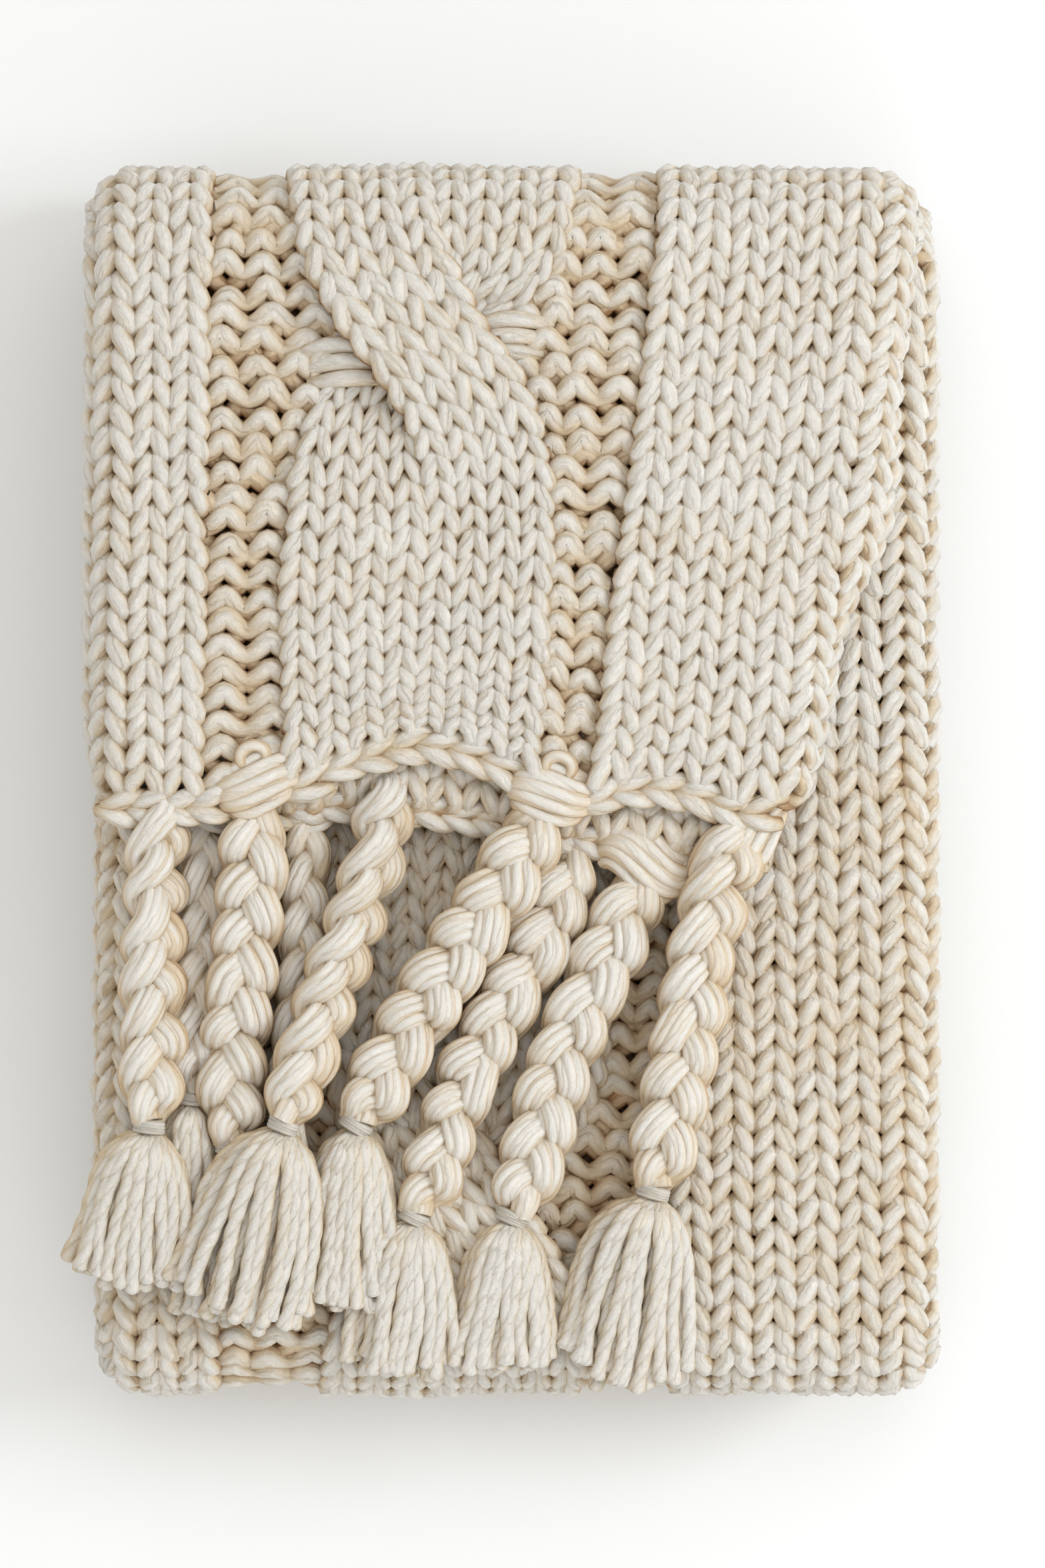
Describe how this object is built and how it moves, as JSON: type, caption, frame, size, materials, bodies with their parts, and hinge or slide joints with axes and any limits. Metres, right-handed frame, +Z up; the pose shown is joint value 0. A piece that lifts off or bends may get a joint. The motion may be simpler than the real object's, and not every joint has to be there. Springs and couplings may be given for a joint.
{
  "type": "folded throw blanket",
  "caption": "Chunky cable-knit throw folded into a stack, its loose end turned over the top with braided, tasselled fringe.",
  "frame": {"origin": "centre of the face the folded stack rests on", "axes": "+Z up; +Y along the stack towards the fold that the end flap turns on; +X to the right of a person who looks at the fringe"},
  "size_m": [0.3292, 0.483, 0.128],
  "materials": {
    "knit_wool": "matt, chunky plied wool in cable and rib stitch",
    "edge_wool": "matt, chain of bound-off stitches",
    "braid_wool": "matt, plaited plied wool",
    "binding_wool": "matt, thin wool wound tight",
    "tassel_wool": "matt, loose plied yarn ends"
  },
  "bodies": {
    "folded_stack": {"folded_panel": "knit_wool", "flap_fold": "knit_wool"},
    "end_flap": {"end_flap": "knit_wool", "bound_off_edge": "edge_wool", "hitch_knot_1": "braid_wool", "hitch_knot_2": "braid_wool", "hitch_knot_3": "braid_wool", "hitch_knot_4": "braid_wool", "hitch_knot_5": "braid_wool", "hitch_knot_6": "braid_wool", "hitch_knot_7": "braid_wool", "hitch_knot_8": "braid_wool", "hitch_knot_9": "braid_wool"},
    "braid_1": {"braid_1": "braid_wool", "binding_1": "binding_wool", "tassel_1": "tassel_wool"},
    "braid_2": {"braid_2": "braid_wool", "binding_2": "binding_wool", "tassel_2": "tassel_wool"},
    "braid_3": {"braid_3": "braid_wool", "binding_3": "binding_wool", "tassel_3": "tassel_wool"},
    "braid_4": {"braid_4": "braid_wool", "binding_4": "binding_wool", "tassel_4": "tassel_wool"},
    "braid_5": {"braid_5": "braid_wool", "binding_5": "binding_wool", "tassel_5": "tassel_wool"},
    "braid_6": {"braid_6": "braid_wool", "binding_6": "binding_wool", "tassel_6": "tassel_wool"},
    "braid_7": {"braid_7": "braid_wool", "binding_7": "binding_wool", "tassel_7": "tassel_wool"},
    "braid_8": {"braid_8": "braid_wool", "binding_8": "binding_wool", "tassel_8": "tassel_wool"},
    "braid_9": {"braid_9": "braid_wool", "binding_9": "binding_wool", "tassel_9": "tassel_wool"}
  },
  "joints": [
    {"name": "flap_unfold", "type": "hinge", "parent": "folded_stack", "child": "end_flap", "pos_m": [0, 0.2095, 0.096], "axis": [-1, 0, 0], "range_deg": [0, 60]},
    {"name": "braid_1_lift", "type": "hinge", "parent": "end_flap", "child": "braid_1", "pos_m": [-0.137, -0.015, 0.1215], "axis": [-0.9991, 0.0431, 0], "range_deg": [0, 75]},
    {"name": "braid_2_lift", "type": "hinge", "parent": "end_flap", "child": "braid_2", "pos_m": [-0.128, -0.021, 0.104], "axis": [-0.9976, 0.0698, 0], "range_deg": [0, 37.5]},
    {"name": "braid_3_lift", "type": "hinge", "parent": "end_flap", "child": "braid_3", "pos_m": [-0.101, -0.015, 0.12], "axis": [-0.9954, 0.0956, 0], "range_deg": [0, 45]},
    {"name": "braid_4_lift", "type": "hinge", "parent": "end_flap", "child": "braid_4", "pos_m": [-0.082, -0.021, 0.104], "axis": [-0.9982, 0.0593, 0], "range_deg": [0, 22.5]},
    {"name": "braid_5_lift", "type": "hinge", "parent": "end_flap", "child": "braid_5", "pos_m": [-0.05, 0.002, 0.122], "axis": [-0.9549, 0.2971, 0], "range_deg": [0, 75]},
    {"name": "braid_6_lift", "type": "hinge", "parent": "end_flap", "child": "braid_6", "pos_m": [0.008, -0.015, 0.1215], "axis": [-0.8664, 0.4993, 0], "range_deg": [0, 75]},
    {"name": "braid_7_lift", "type": "hinge", "parent": "end_flap", "child": "braid_7", "pos_m": [0.02, -0.031, 0.104], "axis": [-0.9149, 0.4036, 0], "range_deg": [0, 37.5]},
    {"name": "braid_8_lift", "type": "hinge", "parent": "end_flap", "child": "braid_8", "pos_m": [0.046, -0.044, 0.104], "axis": [-0.9316, 0.3635, 0], "range_deg": [0, 75]},
    {"name": "braid_9_lift", "type": "hinge", "parent": "end_flap", "child": "braid_9", "pos_m": [0.09, -0.018, 0.1215], "axis": [-0.9676, 0.2524, 0], "range_deg": [0, 75]}
  ],
  "couplings": [
    {"joint": "braid_2_lift", "follows": "braid_1_lift", "ratio": 0.5},
    {"joint": "braid_3_lift", "follows": "braid_5_lift", "ratio": 0.6},
    {"joint": "braid_4_lift", "follows": "braid_5_lift", "ratio": 0.3},
    {"joint": "braid_7_lift", "follows": "braid_6_lift", "ratio": 0.5}
  ]
}
